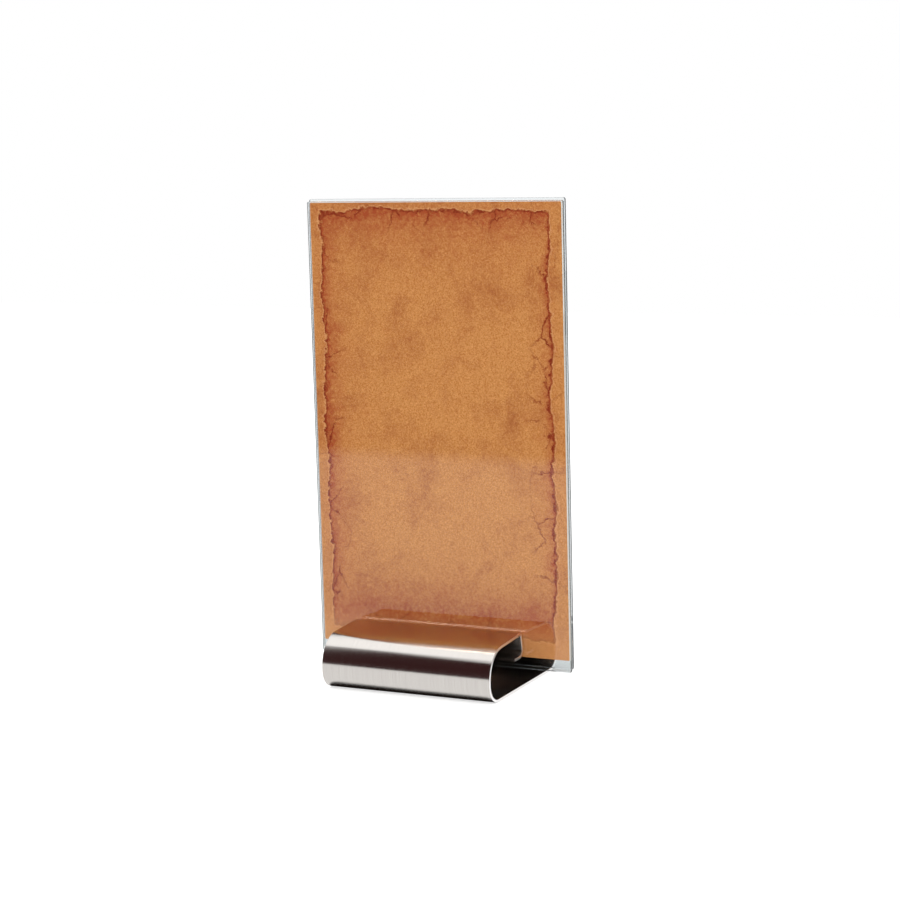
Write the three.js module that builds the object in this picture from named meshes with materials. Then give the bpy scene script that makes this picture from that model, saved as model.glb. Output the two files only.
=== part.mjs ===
// A table holder for a printed card. The foot is one strip of spring steel with both ends
// folded over towards the middle. Two clear sheets with the card between them stand in the
// slot where the folded ends meet, and the spring of the strip grips them there.
// Millimetres, +Z up, +Y away from the reader. The origin is on the table, under the middle
// of the sheets.

import * as THREE from 'three';

// Sheets and card
const sheetWidth = 120;
const sheetHeight = 199;
const sheetThickness = 1.5;
const sheetCornerRadius = 0.6;
const sheetEdgeBevel = 0.2;
const sheetBottomAboveBase = 6.7;
const rearSheetStep = 1;
const cardWidth = 118;
const cardHeight = 193.5;
const cardThickness = 0.3;
const cardClearance = 0.1;
const cardSideShift = -0.1;
const cardBottomMargin = 5;

// Foot: one bent strip
const stripWidth = 79;
const stripThickness = 1.2;
const stripSideShift = -1.5;
const footDepth = 73;
const footHeight = 24.2;
const wallHeight = 1.2;
const upperBendRadius = 12;
const cornerBendRadius = 0.8;
const curlRadius = 2.5;
const plateRise = THREE.MathUtils.degToRad(3.1);
const lipLean = THREE.MathUtils.degToRad(10);
const gripHeight = 16.8;
const gripClearance = 0.15;
const tabLength = 5;

// Fineness of the bends
const degreesPerFacet = 6;

const steel = new THREE.MeshStandardMaterial({ color: 0xc9c4c0, roughness: 0.32, metalness: 1 });
const acrylic = new THREE.MeshStandardMaterial({
  color: 0xdfe8ea,
  roughness: 0.04,
  metalness: 0,
  transparent: true,
  opacity: 0.35,
});
const printedCard = new THREE.MeshStandardMaterial({ color: 0xc07a44, roughness: 0.7, metalness: 0 });

// The stack that stands in the slot, measured from the card's middle plane.
const cardHalf = cardThickness / 2;
const sheetInner = cardHalf + cardClearance;
const stackHalf = sheetInner + sheetThickness;

// Follows a strip along its middle line, as flats and bends, and returns both of its faces.
// A step is a flat of some length, or a bend of some inner radius through an angle to the left.
function stripFaces(start, steps, thickness) {
  const half = thickness / 2;
  const left = [];
  const right = [];
  const at = start.clone();
  let heading = 0;
  const mark = () => {
    const normal = new THREE.Vector2(-Math.sin(heading), Math.cos(heading));
    left.push(at.clone().addScaledVector(normal, half));
    right.push(at.clone().addScaledVector(normal, -half));
  };
  mark();
  for (const step of steps) {
    if (step.flat !== undefined) {
      at.x += step.flat * Math.cos(heading);
      at.y += step.flat * Math.sin(heading);
      mark();
      continue;
    }
    const radius = step.bend + half;
    const facets = Math.ceil(THREE.MathUtils.radToDeg(step.angle) / degreesPerFacet);
    const turn = step.angle / facets;
    const chord = 2 * radius * Math.sin(turn / 2);
    for (let i = 0; i < facets; i += 1) {
      at.x += chord * Math.cos(heading + turn / 2);
      at.y += chord * Math.sin(heading + turn / 2);
      heading += turn;
      mark();
    }
  }
  return { left, right };
}

// One half of the foot, from the middle of the base outwards, up and round, back over the
// base to the slot, down the lip and out again in its curl. x is the distance from the
// middle plane, y the height. The flats are solved so that the curl just meets the stack, and
// the lower bend takes up the height that is left under the upper bend and the short wall.
function footHalfSteps() {
  const curlCentre = new THREE.Vector2(stackHalf + gripClearance + curlRadius + stripThickness, gripHeight);
  const cornerHeight = footHeight - cornerBendRadius - stripThickness;
  const curlGrowth = curlRadius - cornerBendRadius;
  const lip = (cornerHeight - gripHeight - curlGrowth * Math.sin(lipLean)) / Math.cos(lipLean);
  const cornerFromMiddle = curlCentre.x + lip * Math.sin(lipLean) - curlGrowth * Math.cos(lipLean);
  const cornerShrink = upperBendRadius - cornerBendRadius;
  const upperFromMiddle = footDepth / 2 - stripThickness - upperBendRadius;
  const plateRun = upperFromMiddle - cornerFromMiddle + cornerShrink * Math.sin(plateRise);
  const plate = plateRun / Math.cos(plateRise);
  const upperHeight = cornerHeight - plate * Math.sin(plateRise) - cornerShrink * Math.cos(plateRise);
  const lowerBendRadius = upperHeight - wallHeight - stripThickness;
  const base = footDepth / 2 - stripThickness - lowerBendRadius;
  return [
    { flat: base },
    { bend: lowerBendRadius, angle: Math.PI / 2 },
    { flat: wallHeight },
    { bend: upperBendRadius, angle: Math.PI / 2 - plateRise },
    { flat: plate },
    { bend: cornerBendRadius, angle: Math.PI / 2 + plateRise - lipLean },
    { flat: lip },
    { bend: curlRadius, angle: Math.PI / 2 + lipLean },
    { flat: tabLength },
  ];
}

function makeFoot() {
  const middle = new THREE.Vector2(0, stripThickness / 2);
  const { left, right } = stripFaces(middle, footHalfSteps(), stripThickness);
  const mirrored = (point) => new THREE.Vector2(-point.x, point.y);
  const outerRight = right.slice(1);
  const innerRight = left.slice(1).reverse();
  const innerLeft = left.slice(1).map(mirrored);
  const outerLeft = right.slice(1).reverse().map(mirrored);
  const outline = new THREE.Shape([...outerRight, ...innerRight, ...innerLeft, ...outerLeft]);
  const geometry = new THREE.ExtrudeGeometry(outline, { depth: stripWidth, bevelEnabled: false });
  const foot = new THREE.Mesh(geometry, steel);
  foot.name = 'clip_foot';
  foot.rotation.set(Math.PI / 2, 0, Math.PI / 2, 'ZYX');
  foot.position.set(stripSideShift - stripWidth / 2, 0, 0);
  return foot;
}

// A clear sheet with polished edges, standing with its lower edge at a height.
function makeSheet(name, faceFromMiddle, bottom) {
  const halfWidth = sheetWidth / 2 - sheetEdgeBevel;
  const low = sheetEdgeBevel;
  const high = sheetHeight - sheetEdgeBevel;
  const r = sheetCornerRadius;
  const face = new THREE.Shape();
  face.moveTo(-halfWidth + r, low);
  face.absarc(halfWidth - r, low + r, r, -Math.PI / 2, 0);
  face.absarc(halfWidth - r, high - r, r, 0, Math.PI / 2);
  face.absarc(-halfWidth + r, high - r, r, Math.PI / 2, Math.PI);
  face.absarc(-halfWidth + r, low + r, r, Math.PI, Math.PI * 1.5);
  const geometry = new THREE.ExtrudeGeometry(face, {
    depth: sheetThickness - 2 * sheetEdgeBevel,
    bevelThickness: sheetEdgeBevel,
    bevelSize: sheetEdgeBevel,
    bevelSegments: 1,
    curveSegments: 4,
  });
  const sheet = new THREE.Mesh(geometry, acrylic);
  sheet.name = name;
  sheet.rotation.x = Math.PI / 2;
  sheet.position.set(0, faceFromMiddle - sheetEdgeBevel, bottom);
  return sheet;
}

function makeCard(bottom) {
  const geometry = new THREE.BoxGeometry(cardWidth, cardThickness, cardHeight);
  const card = new THREE.Mesh(geometry, printedCard);
  card.name = 'card';
  card.position.set(cardSideShift, 0, bottom + cardHeight / 2);
  return card;
}

const sheetBottom = stripThickness + sheetBottomAboveBase;

const holder = new THREE.Group();
holder.add(makeFoot());
holder.add(makeSheet('front_sheet', -sheetInner, sheetBottom));
holder.add(makeSheet('rear_sheet', stackHalf, sheetBottom + rearSheetStep));
holder.add(makeCard(sheetBottom + cardBottomMargin));

export default holder;
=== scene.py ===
import math

import bpy
from mathutils import Matrix, Vector


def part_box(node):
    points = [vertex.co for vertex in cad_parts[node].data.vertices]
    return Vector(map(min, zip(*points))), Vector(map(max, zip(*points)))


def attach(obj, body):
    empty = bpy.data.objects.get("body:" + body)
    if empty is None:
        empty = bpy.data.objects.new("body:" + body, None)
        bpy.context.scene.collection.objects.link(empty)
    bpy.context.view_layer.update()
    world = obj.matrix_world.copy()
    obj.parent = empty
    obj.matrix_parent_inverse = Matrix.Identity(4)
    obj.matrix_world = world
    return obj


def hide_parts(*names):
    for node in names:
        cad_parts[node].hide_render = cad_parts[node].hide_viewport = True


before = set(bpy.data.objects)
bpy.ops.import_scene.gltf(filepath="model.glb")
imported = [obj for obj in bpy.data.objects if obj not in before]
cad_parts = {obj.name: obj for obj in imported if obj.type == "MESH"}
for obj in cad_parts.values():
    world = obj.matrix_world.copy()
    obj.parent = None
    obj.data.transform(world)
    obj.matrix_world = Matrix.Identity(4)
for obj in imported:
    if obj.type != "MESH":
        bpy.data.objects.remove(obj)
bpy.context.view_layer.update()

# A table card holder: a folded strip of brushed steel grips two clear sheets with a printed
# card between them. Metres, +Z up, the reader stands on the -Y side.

MM = 0.001

# Camera
CAMERA_PLACE = Vector((0.41503, -0.83875, 0.24455))
CAMERA_AZIMUTH = math.radians(26.057)
CAMERA_ELEVATION = math.radians(8.754)
CAMERA_ROLL = math.radians(-1.532)
CAMERA_LENS = 88.323
CAMERA_SENSOR = 36

# Foot: the strip's own sizes, and the fineness of its mesh
STRIP_THICKNESS = 1.2 * MM
WALL_HEIGHT = 1.2 * MM
UPPER_BEND_RADIUS = 12 * MM
CORNER_BEND_RADIUS = 0.8 * MM
CURL_RADIUS = 2.5 * MM
PLATE_RISE = math.radians(3.1)
LIP_LEAN = math.radians(10)
GRIP_HEIGHT = 16.8 * MM
GRIP_CLEARANCE = 0.15 * MM
TAB_LENGTH = 5 * MM
CUT_EDGE_ROUNDING = 0.15 * MM
BEND_POINTS = 36
ROUNDING_POINTS = 4
SHARP_ABOVE = math.radians(12)
EDGE_NORMAL = 0.5

# Steel finish: how far apart the brush lines and the shear marks are, and how long a line is
BRUSH_SPACING = 0.35 * MM
BRUSH_LENGTH = 20 * MM
SHEAR_SPACING = 0.5 * MM

# Sheets: how milky the sawn edges are, from 0 to 1
EDGE_MILK = 0.35

# Card
CARD_CORNER_RADIUS = 0.5 * MM
CARD_CORNER_POINTS = 4

# Print, all in millimetres: the margins round the drawn parchment, how rounded its corners are,
# how far its rim wanders, and the size of each pattern
MARGIN_LEFT = 5.0
MARGIN_RIGHT = 6.0
MARGIN_LOW = 7.5
MARGIN_HIGH = 3.5
RIM_CORNER = 2.0
WANDER_SIZE = 24
WANDER_SHIFT = 7
TEAR_SIZE = 3
TEAR_SHIFT = 5
STAIN_SIZE = 22
FIBRE_SIZE = 1.6
SCREEN_SIZE = 0.7
SCORCH_SIZE = 13
GLOW_DEPTH = 7.0
TORN_EDGE_WIDTH = 0.8
CRACK_SIZE = 17
# Where the painted light at the print's lower edge starts and where it is full, in millimetres above the
# parchment's lower rim
PAINTED_LIGHT_FROM = 12.0
PAINTED_LIGHT_FULL = -4.0
TOOTH_SIZE = 0.4

# Studio: places and sizes in metres, and how bright each thing is
FLOOR_FRONT = -0.6
FLOOR_BACK = 1.6
FLOOR_HALF_WIDTH = 1.8
FLAG_RADIUS = 1.5
FLAG_LOW = -0.35
FLAG_HIGH = 2.06
FLAG_STEPS = 64
FLAG_SIDE_FROM = 0.78 * FLAG_RADIUS
FLAG_SIDE_FULL = 0.95 * FLAG_RADIUS
SOFTBOX_PLACE = (-0.45, 0.2, 1.35)
SOFTBOX_SIZE = 1.6
SOFTBOX_POWER = 8
SOFTBOX_GLARE = 1.56
# The softbox's brightness in mirror images of mirror images, and where on it that starts and is full: a
# painted highlight
SOFTBOX_SECOND_GLARE = 18
GLINT_FROM = -0.25
GLINT_FULL = -0.2
FILL_PLACE = (0.5, -1.3, 0.75)
FILL_SIZE = 1.0
FILL_POWER = 4
ROOM_LIGHT = 0.9
FLOOR_LIFT = 0.6
FLOOR_MIRROR = 1.14
FLOOR_FADE = 0.08
INNER_MIRROR = 0.1
SECOND_MIRROR = 0.35
GAP_REACH = 0.005
END_STRIP_SHARE = 0.8


def colour(code):
    """Linear RGBA of an sRGB hex colour such as "c8834d"."""
    parts = [int(code[i : i + 2], 16) / 255 for i in (0, 2, 4)]
    linear = [p / 12.92 if p <= 0.04045 else ((p + 0.055) / 1.055) ** 2.4 for p in parts]
    return (*linear, 1)


def add(tree, kind, inputs=None, **settings):
    """Adds a node with its settings. An input takes a value, a socket, or a node's first output."""
    node = tree.nodes.new(kind)
    for name, value in settings.items():
        setattr(node, name, value)
    for name, value in (inputs or {}).items():
        if isinstance(name, int):
            socket = node.inputs[name]
        else:
            socket = next(s for s in node.inputs if s.enabled and s.name == name)
        if isinstance(value, bpy.types.Node):
            value = next(s for s in value.outputs if s.enabled)
        if isinstance(value, bpy.types.NodeSocket):
            tree.links.new(value, socket)
        else:
            socket.default_value = value
    return node


def new_material(name):
    material = bpy.data.materials.new(name)
    material.use_nodes = True
    material.node_tree.nodes.clear()
    return material, material.node_tree


def brushed_stainless_steel():
    """Cold-rolled stainless strip, brushed along its length before it was bent. The brushing
    draws fine lines round the bends and spreads each reflection across the strip."""
    material, tree = new_material("brushed_stainless_steel")
    place = add(tree, "ShaderNodeTexCoord").outputs["Object"]
    # The brush lines are drawn coarser than real ones, so that they show.
    across = add(tree, "ShaderNodeMapping", {
        "Vector": place, "Scale": (1 / BRUSH_SPACING, 1 / BRUSH_LENGTH, 1 / BRUSH_LENGTH),
    })
    lines = add(tree, "ShaderNodeTexNoise", {"Vector": across, "Scale": 1.0, "Detail": 3.0,
                                             "Roughness": 0.6})
    tone = add(tree, "ShaderNodeMix", {"Factor": lines, "A": colour("bfbab6"), "B": colour("d2cec9")},
               data_type="RGBA")
    rough = add(tree, "ShaderNodeMapRange", {"Value": lines, "From Min": 0.3, "From Max": 0.7,
                                             "To Min": 0.17, "To Max": 0.23})
    relief = add(tree, "ShaderNodeBump", {"Height": lines, "Strength": 0.05, "Distance": 0.00005})
    grain = add(tree, "ShaderNodeTangent", direction_type="UV_MAP", uv_map="UVMap")
    steel = add(tree, "ShaderNodeBsdfPrincipled", {
        "Base Color": tone, "Metallic": 1.0, "Roughness": rough, "Anisotropic": 0.75,
        "Normal": relief, "Tangent": grain,
    })
    add(tree, "ShaderNodeOutputMaterial", {"Surface": steel})
    return material


def sheared_edge_painted_highlight():
    """The strip's cut edges: sheared, deburred and never brushed, with faint marks of the shear
    across them. Their steel is far lighter than the faces', a painted highlight that makes
    them shine brighter."""
    material, tree = new_material("sheared_edge_painted_highlight")
    place = add(tree, "ShaderNodeTexCoord").outputs["Object"]
    marks = add(tree, "ShaderNodeTexNoise", {"Vector": place, "Scale": 1 / SHEAR_SPACING,
                                             "Detail": 2.0})
    # Painted highlight: the edges' steel is much lighter than the faces', so that they shine brighter.
    tone = add(tree, "ShaderNodeMix", {"Factor": marks, "A": colour("ece9e7"), "B": colour("fbfaf9")},
               data_type="RGBA")
    rough = add(tree, "ShaderNodeMapRange", {"Value": marks, "To Min": 0.28, "To Max": 0.38})
    steel = add(tree, "ShaderNodeBsdfPrincipled", {"Base Color": tone, "Metallic": 1.0,
                                                   "Roughness": rough})
    add(tree, "ShaderNodeOutputMaterial", {"Surface": steel})
    return material


def clear_acrylic():
    """Cast acrylic sheet: clear and polished on its faces, with a faint grey-blue where it is
    seen through its edge. Its sawn edges are polished but stay a little milky. Light from the
    lamps passes straight through."""
    material, tree = new_material("clear_acrylic")
    place = add(tree, "ShaderNodeTexCoord").outputs["Object"]
    # Handling leaves faint soft marks about 30 mm apart.
    marks = add(tree, "ShaderNodeTexNoise", {"Vector": place, "Scale": 33.0, "Detail": 4.0})
    rough = add(tree, "ShaderNodeMapRange", {"Value": marks, "From Min": 0.35, "From Max": 0.7,
                                             "To Min": 0.01, "To Max": 0.03})
    acrylic = add(tree, "ShaderNodeBsdfPrincipled", {
        "Base Color": colour("f6fafb"), "Roughness": rough, "IOR": 1.49, "Transmission Weight": 1.0,
    })
    milk = add(tree, "ShaderNodeBsdfDiffuse", {"Color": colour("a9afb2")})
    facing = add(tree, "ShaderNodeNewGeometry").outputs["True Normal"]
    depthwise = add(tree, "ShaderNodeSeparateXYZ", {0: facing}).outputs["Y"]
    broad = add(tree, "ShaderNodeMath", {0: depthwise}, operation="ABSOLUTE")
    sawn = add(tree, "ShaderNodeMapRange", {"Value": broad, "From Min": 0.5, "From Max": 0.9,
                                            "To Min": EDGE_MILK, "To Max": 0.0})
    sheet = add(tree, "ShaderNodeMixShader", {0: sawn, 1: acrylic, 2: milk})
    through = add(tree, "ShaderNodeBsdfTransparent")
    ray = add(tree, "ShaderNodeLightPath")
    lit = add(tree, "ShaderNodeMath", {0: ray.outputs["Is Shadow Ray"],
                                       1: ray.outputs["Is Diffuse Ray"]}, operation="MAXIMUM")
    both = add(tree, "ShaderNodeMixShader", {0: lit, 1: sheet, 2: through})
    add(tree, "ShaderNodeOutputMaterial", {"Surface": both})
    return material


def scorched_parchment_print(centre, half_width, half_height):
    """Offset print on matt card stock: an orange parchment with a ragged burnt border,
    scorched inwards, stained in clouds and cracked at the rim."""
    material, tree = new_material("scorched_parchment_print")
    place = add(tree, "ShaderNodeTexCoord").outputs["Object"]
    # From here on the pattern is in millimetres from the card's middle.
    flat = add(tree, "ShaderNodeMapping", {"Vector": place, "Location": tuple(-c / MM for c in centre),
                                           "Scale": (1 / MM, 1 / MM, 1 / MM)})
    wander = add(tree, "ShaderNodeTexNoise", {"Vector": flat, "Scale": 1 / WANDER_SIZE,
                                              "Detail": 3.0})
    ragged = add(tree, "ShaderNodeTexNoise", {"Vector": flat, "Scale": 1 / TEAR_SIZE,
                                              "Detail": 6.0, "Roughness": 0.68})
    slow = add(tree, "ShaderNodeVectorMath", {0: wander.outputs["Color"], 1: (0.5, 0.5, 0.5)},
               operation="SUBTRACT")
    fast = add(tree, "ShaderNodeVectorMath", {0: ragged.outputs["Color"], 1: (0.5, 0.5, 0.5)},
               operation="SUBTRACT")
    slow_shift = add(tree, "ShaderNodeVectorMath", {0: slow, 1: [WANDER_SHIFT] * 3, 2: flat},
                     operation="MULTIPLY_ADD")
    torn = add(tree, "ShaderNodeVectorMath", {0: fast, 1: [TEAR_SHIFT] * 3, 2: slow_shift},
               operation="MULTIPLY_ADD")
    axes = add(tree, "ShaderNodeSeparateXYZ", {0: torn})
    across, up = axes.outputs["X"], axes.outputs["Z"]

    # Distance in from the nearest rim of the drawn parchment.
    left = add(tree, "ShaderNodeMath", {0: across, 1: half_width - MARGIN_LEFT}, operation="ADD")
    right = add(tree, "ShaderNodeMath", {0: half_width - MARGIN_RIGHT, 1: across}, operation="SUBTRACT")
    low = add(tree, "ShaderNodeMath", {0: up, 1: half_height - MARGIN_LOW}, operation="ADD")
    high = add(tree, "ShaderNodeMath", {0: half_height - MARGIN_HIGH, 1: up}, operation="SUBTRACT")
    sides = add(tree, "ShaderNodeMath", {0: left, 1: right, 2: RIM_CORNER}, operation="SMOOTH_MIN")
    ends = add(tree, "ShaderNodeMath", {0: low, 1: high, 2: RIM_CORNER}, operation="SMOOTH_MIN")
    inside = add(tree, "ShaderNodeMath", {0: sides, 1: ends, 2: RIM_CORNER}, operation="SMOOTH_MIN")
    away = add(tree, "ShaderNodeMath", {0: inside}, operation="ABSOLUTE")
    # Heat has crept in least from the right, further from the left and from above, and as a
    # strong short band from below.
    low_square = add(tree, "ShaderNodeMath", {0: low, 1: low}, operation="MULTIPLY")
    from_below = add(tree, "ShaderNodeMath", {0: low_square, 1: 1 / 45}, operation="MULTIPLY")
    from_above = add(tree, "ShaderNodeMath", {0: high, 1: 0.5}, operation="MULTIPLY")
    crept = add(tree, "ShaderNodeMath", {0: from_below, 1: from_above}, operation="MINIMUM")
    from_right = add(tree, "ShaderNodeMath", {0: right, 1: 2.4}, operation="MULTIPLY")
    beside = add(tree, "ShaderNodeMath", {0: left, 1: from_right}, operation="MINIMUM")
    heated = add(tree, "ShaderNodeMath", {0: beside, 1: crept, 2: 3.0}, operation="SMOOTH_MIN")
    reached = add(tree, "ShaderNodeMath", {0: heated}, operation="ABSOLUTE")
    on_sheet = add(tree, "ShaderNodeMapRange", {"Value": inside, "From Min": -0.15, "From Max": 0.15,
                                                "To Min": 0.3, "To Max": 1.0})

    # Three sizes of mottling: clouded stains, skin fibres and the fine screen of the print,
    # which is drawn coarser than a real one, so that it shows.
    stain = add(tree, "ShaderNodeTexNoise", {"Vector": slow_shift, "Scale": 1 / STAIN_SIZE,
                                             "Detail": 9.0, "Roughness": 0.66,
                                             "Distortion": 0.4})
    stained = add(tree, "ShaderNodeMapRange", {"Value": stain, "From Min": 0.48, "From Max": 0.86})
    fibre = add(tree, "ShaderNodeTexNoise", {"Vector": torn, "Scale": 1 / FIBRE_SIZE,
                                             "Detail": 4.0, "Roughness": 0.65})
    fibres = add(tree, "ShaderNodeMapRange", {"Value": fibre, "From Min": 0.3, "From Max": 0.7,
                                              "To Min": 0.4, "To Max": 1.4})
    stains = add(tree, "ShaderNodeMath", {0: stained, 1: fibres}, operation="MULTIPLY",
                 use_clamp=True)
    screen = add(tree, "ShaderNodeTexNoise", {"Vector": flat, "Scale": 1 / SCREEN_SIZE,
                                              "Detail": 2.0, "Roughness": 0.8})
    dots = add(tree, "ShaderNodeMapRange", {"Value": screen, "From Min": 0.25, "From Max": 0.75})
    ground = add(tree, "ShaderNodeMix", {"Factor": dots, "A": colour("b96d2d"),
                                         "B": colour("edaa69")}, data_type="RGBA")
    speckle = add(tree, "ShaderNodeMapRange", {"Value": fibre, "From Min": 0.5, "From Max": 0.72,
                                               "To Max": 0.4})
    specked = add(tree, "ShaderNodeMix", {"Factor": speckle, "A": ground, "B": colour("b86a38")},
                  data_type="RGBA")
    clouded = add(tree, "ShaderNodeMix", {"Factor": stains, "A": specked, "B": colour("a4562f")},
                  data_type="RGBA")

    # Scorching fades inwards at an uneven depth: a strong rim over a faint wide glow.
    patch = add(tree, "ShaderNodeTexNoise", {"Vector": slow_shift, "Scale": 1 / SCORCH_SIZE,
                                             "Detail": 5.0, "Roughness": 0.6})
    depth = add(tree, "ShaderNodeMapRange", {"Value": patch, "From Min": 0.35, "From Max": 0.68,
                                             "To Min": -0.6, "To Max": -0.13})
    near = add(tree, "ShaderNodeMath", {0: reached, 1: depth}, operation="MULTIPLY")
    strong = add(tree, "ShaderNodeMath", {0: 2.0, 1: near}, operation="POWER")
    far = add(tree, "ShaderNodeMath", {0: reached, 1: -1 / GLOW_DEPTH}, operation="MULTIPLY")
    faint = add(tree, "ShaderNodeMath", {0: 2.0, 1: far}, operation="POWER")
    faded = add(tree, "ShaderNodeMath", {0: faint, 1: 0.4}, operation="MULTIPLY")
    burnt = add(tree, "ShaderNodeMath", {0: strong, 1: 0.75, 2: faded}, operation="MULTIPLY_ADD")
    uneven = add(tree, "ShaderNodeMath", {0: burnt, 1: fibres}, operation="MULTIPLY")
    scorch = add(tree, "ShaderNodeMath", {0: uneven, 1: on_sheet}, operation="MULTIPLY",
                 use_clamp=True)
    scorched = add(tree, "ShaderNodeMix", {"Factor": scorch, "A": clouded, "B": colour("ad4f2c")},
                   data_type="RGBA")

    # The torn edge is pale just outside its burnt line.
    outside = add(tree, "ShaderNodeMath", {0: inside, 1: TORN_EDGE_WIDTH}, operation="ADD")
    from_pale = add(tree, "ShaderNodeMath", {0: outside}, operation="ABSOLUTE")
    pale = add(tree, "ShaderNodeMapRange", {"Value": from_pale, "From Min": 0.05, "From Max": 0.4,
                                            "To Min": 0.5, "To Max": 0.0},
               interpolation_type="SMOOTHSTEP")
    edged = add(tree, "ShaderNodeMix", {"Factor": pale, "A": scorched, "B": colour("efae78")},
                data_type="RGBA")

    # The burnt rim line, broken here and there.
    line = add(tree, "ShaderNodeMapRange", {"Value": away, "From Min": 0.25, "From Max": 0.75,
                                            "To Min": 1.0, "To Max": 0.0},
               interpolation_type="SMOOTHSTEP")
    broken = add(tree, "ShaderNodeMapRange", {"Value": ragged, "From Min": 0.4, "From Max": 0.55,
                                              "To Min": 0.3, "To Max": 1.0})
    rim = add(tree, "ShaderNodeMath", {0: line, 1: broken}, operation="MULTIPLY")

    # Hairline cracks that run in from the rim, drawn 0.3 mm wide.
    cells = add(tree, "ShaderNodeTexVoronoi", {"Vector": torn, "Scale": 1 / CRACK_SIZE},
                feature="DISTANCE_TO_EDGE")
    hair = add(tree, "ShaderNodeMapRange", {"Value": cells, "From Min": 0.006, "From Max": 0.028,
                                            "To Min": 1.0, "To Max": 0.0})
    reach = add(tree, "ShaderNodeMapRange", {"Value": inside, "From Min": 3.0, "From Max": 12.0,
                                             "To Min": 1.0, "To Max": 0.0})
    some = add(tree, "ShaderNodeMapRange", {"Value": patch, "From Min": 0.45, "From Max": 0.52})
    edge_hair = add(tree, "ShaderNodeMath", {0: hair, 1: reach}, operation="MULTIPLY")
    shown = add(tree, "ShaderNodeMath", {0: some, 1: on_sheet}, operation="MULTIPLY")
    cracks = add(tree, "ShaderNodeMath", {0: edge_hair, 1: shown}, operation="MULTIPLY")
    dark = add(tree, "ShaderNodeMath", {0: rim, 1: cracks}, operation="MAXIMUM", use_clamp=True)
    inked = add(tree, "ShaderNodeMix", {"Factor": dark, "A": edged, "B": colour("8a3118")},
                data_type="RGBA")

    # Painted light: the whole print is lightened towards its lower edge, making up for the shade that
    # the foot casts on the card's lower part.
    painted_light_low = add(tree, "ShaderNodeMapRange", {"Value": low, "From Min": PAINTED_LIGHT_FROM, "From Max": PAINTED_LIGHT_FULL,
                                              "To Max": 0.5}, interpolation_type="SMOOTHSTEP")
    print_with_painted_light = add(tree, "ShaderNodeMix", {"Factor": painted_light_low, "A": inked, "B": colour("eda76b")},
                  data_type="RGBA")

    # Paper tooth, drawn coarse so that it shows.
    tooth = add(tree, "ShaderNodeTexNoise", {"Vector": flat, "Scale": 1 / TOOTH_SIZE, "Detail": 2.0})
    relief = add(tree, "ShaderNodeBump", {"Height": tooth, "Strength": 0.15, "Distance": 0.00003})
    card = add(tree, "ShaderNodeBsdfPrincipled", {
        "Base Color": print_with_painted_light, "Roughness": 0.8, "Specular IOR Level": 0.08, "Normal": relief,
    })
    add(tree, "ShaderNodeOutputMaterial", {"Surface": card})
    return material


def plain_card_stock():
    """The unprinted back and the cut edges of the card: matt off-white board, faintly mottled."""
    material, tree = new_material("plain_card_stock")
    place = add(tree, "ShaderNodeTexCoord").outputs["Object"]
    # Pulp flocks are about 3 mm across.
    pulp = add(tree, "ShaderNodeTexNoise", {"Vector": place, "Scale": 330.0, "Detail": 5.0})
    tone = add(tree, "ShaderNodeMix", {"Factor": pulp, "A": colour("e4dccb"), "B": colour("efe9dc")},
               data_type="RGBA")
    relief = add(tree, "ShaderNodeBump", {"Height": pulp, "Strength": 0.1, "Distance": 0.00003})
    board = add(tree, "ShaderNodeBsdfPrincipled", {"Base Color": tone, "Roughness": 0.75,
                                                   "Normal": relief})
    add(tree, "ShaderNodeOutputMaterial", {"Surface": board})
    return material


def meeting_point(place_a, heading_a, place_b, heading_b):
    """Where two lines cross, each given by a point and a heading."""
    along_a = Vector((math.cos(heading_a), math.sin(heading_a)))
    along_b = Vector((math.cos(heading_b), math.sin(heading_b)))
    offset = Vector(place_b) - Vector(place_a)
    reach = offset.cross(along_b) / along_a.cross(along_b)
    return Vector(place_a) + reach * along_a


def strip_corners(half_depth, height, stack_half):
    """The strip's middle line from the middle of the base out to one end, as the sharp corners
    that its bends round off, each with the radius of its middle line. A place is the distance
    from the middle plane and the height."""
    half = STRIP_THICKNESS / 2
    curl = CURL_RADIUS + half
    curl_centre = Vector((stack_half + GRIP_CLEARANCE + CURL_RADIUS + STRIP_THICKNESS, GRIP_HEIGHT))
    lip_heading = math.radians(270) - LIP_LEAN
    plate_heading = math.pi - PLATE_RISE
    lip_outward = Vector((-math.cos(LIP_LEAN), math.sin(LIP_LEAN)))
    plate_outward = Vector((math.sin(PLATE_RISE), math.cos(PLATE_RISE)))
    on_lip = curl_centre + curl * lip_outward
    corner_reach = CORNER_BEND_RADIUS + half
    corner_height = height - CORNER_BEND_RADIUS - STRIP_THICKNESS
    # The corner's centre lies beside the lip at the corner's own radius.
    rise = corner_height - on_lip.y + corner_reach * lip_outward.y
    down_lip = Vector((math.cos(lip_heading), math.sin(lip_heading)))
    on_corner = on_lip + rise / down_lip.y * down_lip
    corner_centre = on_corner - corner_reach * lip_outward
    on_plate = corner_centre + corner_reach * plate_outward
    wall = Vector((half_depth - half, 0))
    tab = Vector((0, GRIP_HEIGHT - curl))
    upright = math.radians(90)
    upper = UPPER_BEND_RADIUS + half
    upper_corner = meeting_point(wall, upright, on_plate, plate_heading)
    upper_start = upper_corner.y - upper * math.tan((upright - PLATE_RISE) / 2)
    lower = upper_start - WALL_HEIGHT - half
    return [
        (Vector((half_depth - half, half)), lower),
        (upper_corner, upper),
        (meeting_point(on_plate, plate_heading, on_lip, lip_heading), corner_reach),
        (meeting_point(on_lip, lip_heading, tab, 0), curl),
        (Vector((curl_centre.x + TAB_LENGTH, GRIP_HEIGHT - curl)), 0),
    ]


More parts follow.
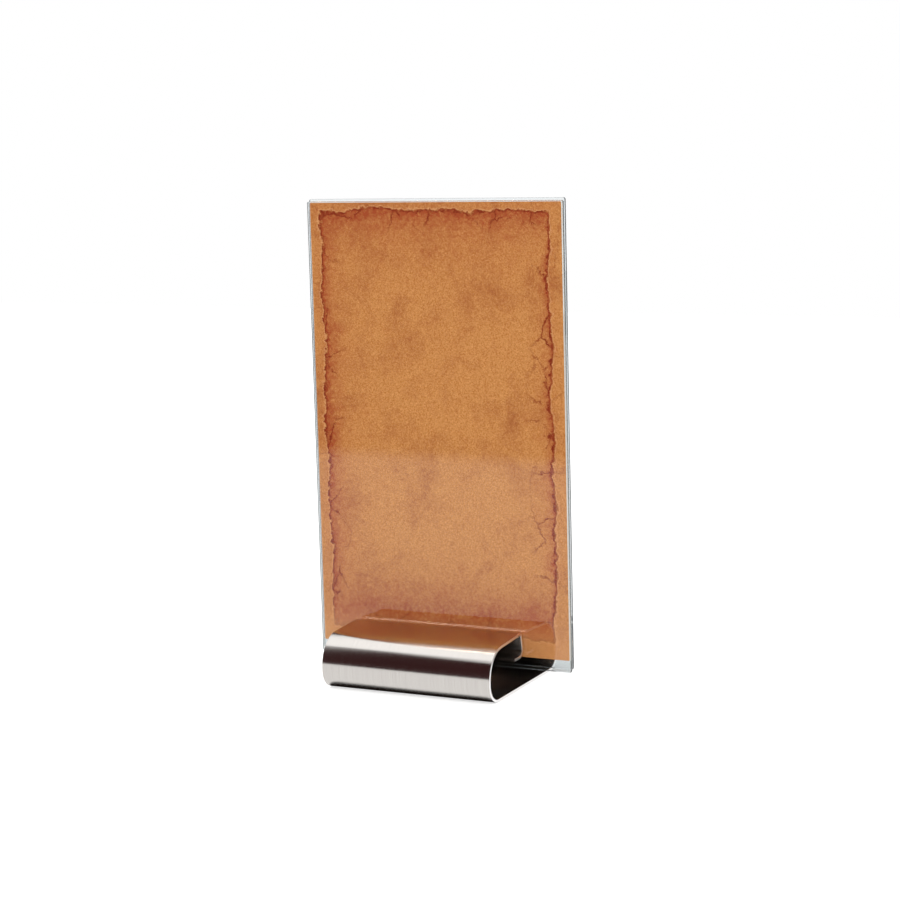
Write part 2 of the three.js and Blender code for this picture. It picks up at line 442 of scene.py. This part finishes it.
def bent_strip_tree():
    """Sweeps a rounded cross-section along a line whose corners are rounded by bend_radius."""
    tree = bpy.data.node_groups.new("bent_strip", "GeometryNodeTree")
    wanted = [
        ("Geometry", "NodeSocketGeometry"), ("Strip width", "NodeSocketFloat"),
        ("Strip thickness", "NodeSocketFloat"), ("Edge rounding", "NodeSocketFloat"),
        ("Bend points", "NodeSocketInt"), ("Side shift", "NodeSocketFloat"),
        ("Face material", "NodeSocketMaterial"), ("Edge material", "NodeSocketMaterial"),
    ]
    for name, kind in wanted:
        tree.interface.new_socket(name, in_out="INPUT", socket_type=kind)
    tree.interface.new_socket("Geometry", in_out="OUTPUT", socket_type="NodeSocketGeometry")
    given = add(tree, "NodeGroupInput").outputs

    line = add(tree, "GeometryNodeMeshToCurve", {"Mesh": given["Geometry"]})
    radius = add(tree, "GeometryNodeInputNamedAttribute", {"Name": "bend_radius"}, data_type="FLOAT")
    bent = add(tree, "GeometryNodeFilletCurve", {"Curve": line, "Radius": radius,
                                                 "Count": given["Bend points"]}, mode="POLY")
    section = add(tree, "GeometryNodeCurvePrimitiveQuadrilateral", {
        "Width": given["Strip width"], "Height": given["Strip thickness"]})
    rounded = add(tree, "GeometryNodeFilletCurve", {"Curve": section, "Radius": given["Edge rounding"],
                                                    "Count": ROUNDING_POINTS}, mode="POLY")
    run = add(tree, "GeometryNodeSplineParameter").outputs["Length"]
    along = add(tree, "GeometryNodeCaptureAttribute")
    along.capture_items.new("FLOAT", "Along")
    tree.links.new(bent.outputs[0], along.inputs["Geometry"])
    tree.links.new(run, along.inputs["Along"])
    around = add(tree, "GeometryNodeCaptureAttribute")
    around.capture_items.new("FLOAT", "Around")
    tree.links.new(rounded.outputs[0], around.inputs["Geometry"])
    tree.links.new(run, around.inputs["Around"])

    swept = add(tree, "GeometryNodeCurveToMesh", {"Curve": along.outputs["Geometry"],
                                                  "Profile Curve": around.outputs["Geometry"],
                                                  "Fill Caps": True})
    lie = add(tree, "ShaderNodeCombineXYZ", {"X": around.outputs["Around"],
                                             "Y": along.outputs["Along"]})
    mapped = add(tree, "GeometryNodeStoreNamedAttribute", {
        "Geometry": swept, "Name": "UVMap", "Value": lie,
    }, data_type="FLOAT2", domain="CORNER")
    angle = add(tree, "GeometryNodeInputMeshEdgeAngle")
    sharp = add(tree, "FunctionNodeCompare", {"A": angle, "B": SHARP_ABOVE}, operation="GREATER_THAN")
    soft = add(tree, "GeometryNodeSetShadeSmooth", {"Geometry": mapped, "Shade Smooth": True})
    creased = add(tree, "GeometryNodeSetShadeSmooth", {"Geometry": soft, "Selection": sharp,
                                                       "Shade Smooth": False}, domain="EDGE")
    shift = add(tree, "ShaderNodeCombineXYZ", {"X": given["Side shift"]})
    placed = add(tree, "GeometryNodeTransform", {"Geometry": creased, "Translation": shift})
    real = add(tree, "GeometryNodeRealizeInstances", {"Geometry": placed})
    faced = add(tree, "GeometryNodeSetMaterial", {"Geometry": real, "Material": given["Face material"]})
    normal = add(tree, "GeometryNodeInputNormal")
    sideways = add(tree, "ShaderNodeSeparateXYZ", {0: normal})
    lean = add(tree, "ShaderNodeMath", {0: sideways}, operation="ABSOLUTE")
    on_edge = add(tree, "FunctionNodeCompare", {"A": lean, "B": EDGE_NORMAL}, operation="GREATER_THAN")
    edged = add(tree, "GeometryNodeSetMaterial", {"Geometry": faced, "Selection": on_edge,
                                                  "Material": given["Edge material"]})
    add(tree, "NodeGroupOutput", {"Geometry": edged})
    return tree


def make_foot(face, edge):
    low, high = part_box("clip_foot")
    inner_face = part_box("front_sheet")[0].y
    corners = strip_corners(high.y, high.z, -inner_face)
    right_half = [((0, place.x, place.y), radius) for place, radius in corners]
    left_half = [((0, -y, z), radius) for (_, y, z), radius in right_half]
    points = right_half[::-1] + left_half
    line = bpy.data.meshes.new("strip_line")
    line.from_pydata([p for p, _ in points], [(i, i + 1) for i in range(len(points) - 1)], [])
    radius = line.attributes.new("bend_radius", "FLOAT", "POINT")
    radius.data.foreach_set("value", [r for _, r in points])
    holder = bpy.data.objects.new("strip_line", line)
    bpy.context.scene.collection.objects.link(holder)

    sweep = holder.modifiers.new("bent_strip", "NODES")
    sweep.node_group = bent_strip_tree()
    sizes = {
        "Strip width": high.x - low.x, "Strip thickness": STRIP_THICKNESS,
        "Edge rounding": CUT_EDGE_ROUNDING, "Bend points": BEND_POINTS,
        "Side shift": (high.x + low.x) / 2, "Face material": face, "Edge material": edge,
    }
    for item in sweep.node_group.interface.items_tree:
        if item.in_out == "INPUT" and item.name in sizes:
            sweep[item.identifier] = sizes[item.name]
    shaped = holder.evaluated_get(bpy.context.evaluated_depsgraph_get())
    mesh = bpy.data.meshes.new_from_object(shaped)
    bpy.data.objects.remove(holder)
    mesh.name = "bent_foot"
    foot = bpy.data.objects.new("bent_foot", mesh)
    bpy.context.scene.collection.objects.link(foot)
    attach(foot, "foot")
    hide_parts("clip_foot")


def make_card(front, back):
    """The card, with its corners just off sharp. The front face is printed."""
    low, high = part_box("card")
    r = CARD_CORNER_RADIUS
    outline = []
    for quarter, (x, z) in enumerate([(high.x - r, high.z - r), (low.x + r, high.z - r),
                                      (low.x + r, low.z + r), (high.x - r, low.z + r)]):
        for step in range(CARD_CORNER_POINTS + 1):
            turn = math.radians(90) * (quarter + step / CARD_CORNER_POINTS)
            outline.append((x + r * math.cos(turn), z + r * math.sin(turn)))
    count = len(outline)
    points = [(x, low.y, z) for x, z in outline] + [(x, high.y, z) for x, z in outline]
    front_face = list(range(count))
    back_face = [count + i for i in reversed(range(count))]
    rims = [(i, count + i, count + (i + 1) % count, (i + 1) % count) for i in range(count)]
    mesh = bpy.data.meshes.new("menu_card")
    mesh.from_pydata(points, [], [front_face, back_face, *rims])
    mesh.materials.append(front)
    mesh.materials.append(back)
    for face in mesh.polygons:
        face.material_index = 0 if face.index == 0 else 1
    card = bpy.data.objects.new("menu_card", mesh)
    bpy.context.scene.collection.objects.link(card)
    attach(card, "card")
    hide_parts("card")


def dress_sheets(acrylic):
    for name in ("front_sheet", "rear_sheet"):
        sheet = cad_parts[name]
        sheet.data.materials.clear()
        sheet.data.materials.append(acrylic)


def make_floor():
    """A white table top. What the camera sees of it is lifted to white, and it still takes the
    holder's shadow. Mirror images show it glowing evenly, without the holder's shadow, fading
    into the dark room at its front, with painted shade in the narrow gap round the foot, and
    fainter on the inner faces of the sheets. Mirror images of mirror images show it dim, with
    painted shade off the foot's open ends that stands in for the shade inside the foot."""
    material, tree = new_material("white_table")
    foot_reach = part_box("clip_foot")[1].y
    ray = add(tree, "ShaderNodeLightPath")
    place = add(tree, "ShaderNodeTexCoord").outputs["Object"]
    depth = add(tree, "ShaderNodeSeparateXYZ", {0: place}).outputs["Y"]
    fade = add(tree, "ShaderNodeMapRange", {"Value": depth, "From Min": FLOOR_FRONT,
                                            "From Max": FLOOR_FRONT + FLOOR_FADE},
               interpolation_type="SMOOTHSTEP")
    # Painted shade: mirror images show the floor dark where the foot closes over it, found by ambient
    # occlusion.
    open_air = add(tree, "ShaderNodeAmbientOcclusion", {"Distance": GAP_REACH}, samples=8)
    painted_gap_shade = add(tree, "ShaderNodeMapRange", {"Value": open_air.outputs["AO"], "From Min": 0.45,
                                           "From Max": 0.6})
    outer = add(tree, "ShaderNodeMapRange", {"Value": ray.outputs["Is Transmission Ray"],
                                             "To Min": 1.0, "To Max": INNER_MIRROR})
    # Painted shade: mirror images of mirror images show the floor dark off the foot's open ends,
    # standing in for the shade inside the foot.
    off_middle = add(tree, "ShaderNodeMath", {0: depth}, operation="ABSOLUTE")
    ends = add(tree, "ShaderNodeMapRange", {"Value": off_middle, "From Max": foot_reach,
                                            "From Min": END_STRIP_SHARE * foot_reach},
               interpolation_type="SMOOTHSTEP")
    first = add(tree, "ShaderNodeMath", {0: ray.outputs["Glossy Depth"], 1: 1.5},
                operation="LESS_THAN")
    dimmed = add(tree, "ShaderNodeMath", {0: ends, 1: SECOND_MIRROR}, operation="MULTIPLY")
    in_view = add(tree, "ShaderNodeMath", {0: dimmed, 1: first}, operation="MAXIMUM")
    clear = add(tree, "ShaderNodeMath", {0: in_view, 1: painted_gap_shade}, operation="MULTIPLY")
    open_floor = add(tree, "ShaderNodeMath", {0: fade, 1: clear}, operation="MULTIPLY")
    bright = add(tree, "ShaderNodeMath", {0: open_floor, 1: outer}, operation="MULTIPLY")
    seen = add(tree, "ShaderNodeMix", {"Factor": bright, "A": colour("1c1614"),
                                       "B": colour("fcfcfc")}, data_type="RGBA")
    mirrored = add(tree, "ShaderNodeEmission", {"Color": seen, "Strength": FLOOR_MIRROR})
    top = add(tree, "ShaderNodeBsdfDiffuse", {"Color": colour("dcdcdc")})
    lift = add(tree, "ShaderNodeMath", {0: ray.outputs["Is Camera Ray"], 1: FLOOR_LIFT},
               operation="MULTIPLY")
    glow = add(tree, "ShaderNodeEmission", {"Strength": lift})
    lifted = add(tree, "ShaderNodeAddShader", {0: top, 1: glow})
    once = add(tree, "ShaderNodeMath", {0: ray.outputs["Glossy Depth"], 1: 0.5},
               operation="GREATER_THAN")
    both = add(tree, "ShaderNodeMixShader", {0: once, 1: lifted, 2: mirrored})
    add(tree, "ShaderNodeOutputMaterial", {"Surface": both})
    material.cycles.emission_sampling = "NONE"
    mesh = bpy.data.meshes.new("floor")
    mesh.from_pydata([(-FLOOR_HALF_WIDTH, FLOOR_FRONT, 0), (FLOOR_HALF_WIDTH, FLOOR_FRONT, 0),
                      (FLOOR_HALF_WIDTH, FLOOR_BACK, 0), (-FLOOR_HALF_WIDTH, FLOOR_BACK, 0)],
                     [], [(0, 1, 2, 3)])
    mesh.materials.append(material)
    floor = bpy.data.objects.new("floor", mesh)
    bpy.context.scene.collection.objects.link(floor)


def make_flag():
    """A studio screen all round, dark before and behind the holder and shading up from grey to
    white beside it, so that steel and acrylic have something to mirror. Only mirror images show
    it, on the outer and inner faces of the sheets too, and it takes no light away. Mirror images
    of mirror images show it dark beside the holder too: painted shade for the inside of the foot."""
    material, tree = new_material("black_flag")
    clear = add(tree, "ShaderNodeBsdfTransparent")
    ray = add(tree, "ShaderNodeLightPath")
    place = add(tree, "ShaderNodeTexCoord").outputs["Object"]
    axes = add(tree, "ShaderNodeSeparateXYZ", {0: place})
    off_centre = add(tree, "ShaderNodeMath", {0: axes.outputs["X"]}, operation="ABSOLUTE")
    beside = add(tree, "ShaderNodeMapRange", {"Value": off_centre, "From Min": FLAG_SIDE_FROM,
                                              "From Max": FLAG_SIDE_FULL},
                 interpolation_type="SMOOTHSTEP")
    upper = add(tree, "ShaderNodeMapRange", {"Value": axes.outputs["Z"], "From Max": FLAG_HIGH})
    paper = add(tree, "ShaderNodeMix", {"Factor": upper, "A": colour("6f6b69"),
                                        "B": colour("ffffff")}, data_type="RGBA")
    # Painted shade: mirror images of mirror images show the screen dark beside the holder too, standing
    # in for the shade inside the foot.
    first = add(tree, "ShaderNodeMath", {0: ray.outputs["Glossy Depth"], 1: 1.5},
                operation="LESS_THAN")
    papered = add(tree, "ShaderNodeMath", {0: beside, 1: first}, operation="MULTIPLY")
    shade = add(tree, "ShaderNodeMix", {"Factor": papered, "A": colour("412626"), "B": paper},
                data_type="RGBA")
    cloth = add(tree, "ShaderNodeEmission", {"Color": shade, "Strength": 1.0})
    mirrored = add(tree, "ShaderNodeMath", {0: ray.outputs["Glossy Depth"], 1: 0.5},
                   operation="GREATER_THAN")
    lit = add(tree, "ShaderNodeMath", {0: ray.outputs["Diffuse Depth"], 1: 0.5},
              operation="LESS_THAN")
    shown = add(tree, "ShaderNodeMath", {0: mirrored, 1: lit}, operation="MULTIPLY")
    both = add(tree, "ShaderNodeMixShader", {0: shown, 1: clear, 2: cloth})
    add(tree, "ShaderNodeOutputMaterial", {"Surface": both})
    points = []
    for i in range(FLAG_STEPS):
        turn = math.radians(360) * i / FLAG_STEPS
        x, y = FLAG_RADIUS * math.cos(turn), FLAG_RADIUS * math.sin(turn)
        points += [(x, y, FLAG_LOW), (x, y, FLAG_HIGH)]
    count = len(points)
    faces = [(i, (i + 2) % count, (i + 3) % count, i + 1) for i in range(0, count, 2)]
    mesh = bpy.data.meshes.new("flag")
    mesh.from_pydata(points, [], faces)
    mesh.materials.append(material)
    flag = bpy.data.objects.new("flag", mesh)
    bpy.context.scene.collection.objects.link(flag)
    flag.visible_camera = False
    flag.visible_diffuse = False
    flag.visible_shadow = False


def add_lamp(name, place, size, power):
    """A square lamp that faces the holder."""
    lamp = bpy.data.lights.new(name, "AREA")
    lamp.shape = "SQUARE"
    lamp.size = size
    lamp.energy = power
    placed = bpy.data.objects.new(name, lamp)
    aim = Vector(place).to_track_quat("Z", "Y").to_matrix().to_4x4()
    placed.matrix_world = Matrix.Translation(place) @ aim
    bpy.context.scene.collection.objects.link(placed)
    return placed


def make_softbox_screen():
    """The softbox as steel and acrylic mirror it. Its first mirror image stays just under
    white. Mirror images of mirror images show its part away from its front edge far brighter
    and warmer: a painted highlight that draws a bright line on the foot's corner bend as the
    sheets mirror it."""
    material, tree = new_material("softbox_screen")
    ray = add(tree, "ShaderNodeLightPath")
    again = add(tree, "ShaderNodeMath", {0: ray.outputs["Glossy Depth"], 1: 1.5},
                operation="GREATER_THAN")
    place = add(tree, "ShaderNodeTexCoord").outputs["Object"]
    depth = add(tree, "ShaderNodeSeparateXYZ", {0: place}).outputs["Y"]
    behind = add(tree, "ShaderNodeMapRange", {"Value": depth, "From Min": GLINT_FROM,
                                              "From Max": GLINT_FULL})
    # Painted highlight: far brighter and warmer in mirror images of mirror images, away from the front
    # edge.
    painted_glint_zone = add(tree, "ShaderNodeMath", {0: again, 1: behind}, operation="MULTIPLY")
    strength = add(tree, "ShaderNodeMapRange", {"Value": painted_glint_zone, "To Min": SOFTBOX_GLARE,
                                                "To Max": SOFTBOX_SECOND_GLARE})
    painted_glint_tint = add(tree, "ShaderNodeMix", {"Factor": painted_glint_zone, "A": colour("ffffff"),
                                         "B": colour("ffd4ba")}, data_type="RGBA")
    glare = add(tree, "ShaderNodeEmission", {"Color": painted_glint_tint, "Strength": strength})
    add(tree, "ShaderNodeOutputMaterial", {"Surface": glare})
    material.cycles.emission_sampling = "NONE"
    centre = Vector(SOFTBOX_PLACE)
    turn = centre.to_track_quat("Z", "Y")
    half = SOFTBOX_SIZE / 2
    corners = [centre + turn @ Vector((x, y, 0))
               for x, y in ((-half, -half), (half, -half), (half, half), (-half, half))]
    mesh = bpy.data.meshes.new("softbox_screen")
    mesh.from_pydata(corners, [], [(0, 1, 2, 3)])
    mesh.materials.append(material)
    screen = bpy.data.objects.new("softbox_screen", mesh)
    bpy.context.scene.collection.objects.link(screen)
    screen.visible_camera = False
    screen.visible_diffuse = False
    screen.visible_transmission = False
    screen.visible_shadow = False


def light_studio():
    world = bpy.data.worlds.new("studio")
    bpy.context.scene.world = world
    world.use_nodes = True
    tree = world.node_tree
    tree.nodes.clear()
    ray = add(tree, "ShaderNodeLightPath")
    seen = add(tree, "ShaderNodeMath", {0: ray.outputs["Is Camera Ray"],
                                        1: ray.outputs["Is Glossy Ray"]}, operation="MAXIMUM")
    strength = add(tree, "ShaderNodeMapRange", {"Value": seen, "To Min": ROOM_LIGHT, "To Max": 1.0})
    white = add(tree, "ShaderNodeBackground", {"Color": colour("ffffff"), "Strength": strength})
    add(tree, "ShaderNodeOutputWorld", {"Surface": white})

    for name, place, size, power in (("softbox", SOFTBOX_PLACE, SOFTBOX_SIZE, SOFTBOX_POWER),
                                     ("front_fill", FILL_PLACE, FILL_SIZE, FILL_POWER)):
        lamp = add_lamp(name, place, size, power)
        lamp.visible_glossy = False


def set_camera():
    a, e, r = CAMERA_AZIMUTH, CAMERA_ELEVATION, CAMERA_ROLL
    back = Vector((math.sin(a) * math.cos(e), -math.cos(a) * math.cos(e), math.sin(e)))
    level = Vector((math.cos(a), math.sin(a), 0))
    upward = back.cross(level)
    right = math.cos(r) * level + math.sin(r) * upward
    up = math.cos(r) * upward - math.sin(r) * level
    data = bpy.data.cameras.new("camera")
    data.lens = CAMERA_LENS
    data.sensor_width = CAMERA_SENSOR
    data.clip_start = 0.01
    camera = bpy.data.objects.new("camera", data)
    turn = Matrix((right, up, back)).transposed().to_4x4()
    camera.matrix_world = Matrix.Translation(CAMERA_PLACE) @ turn
    bpy.context.scene.collection.objects.link(camera)
    bpy.context.scene.camera = camera


set_camera()
make_foot(brushed_stainless_steel(), sheared_edge_painted_highlight())
card_low, card_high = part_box("card")
card_half = (card_high - card_low) / (2 * MM)
print_design = scorched_parchment_print((card_low + card_high) / 2, card_half.x, card_half.z)
make_card(print_design, plain_card_stock())
dress_sheets(clear_acrylic())
make_floor()
make_flag()
make_softbox_screen()
light_studio()

bpy.context.scene.view_settings.view_transform = "Standard"
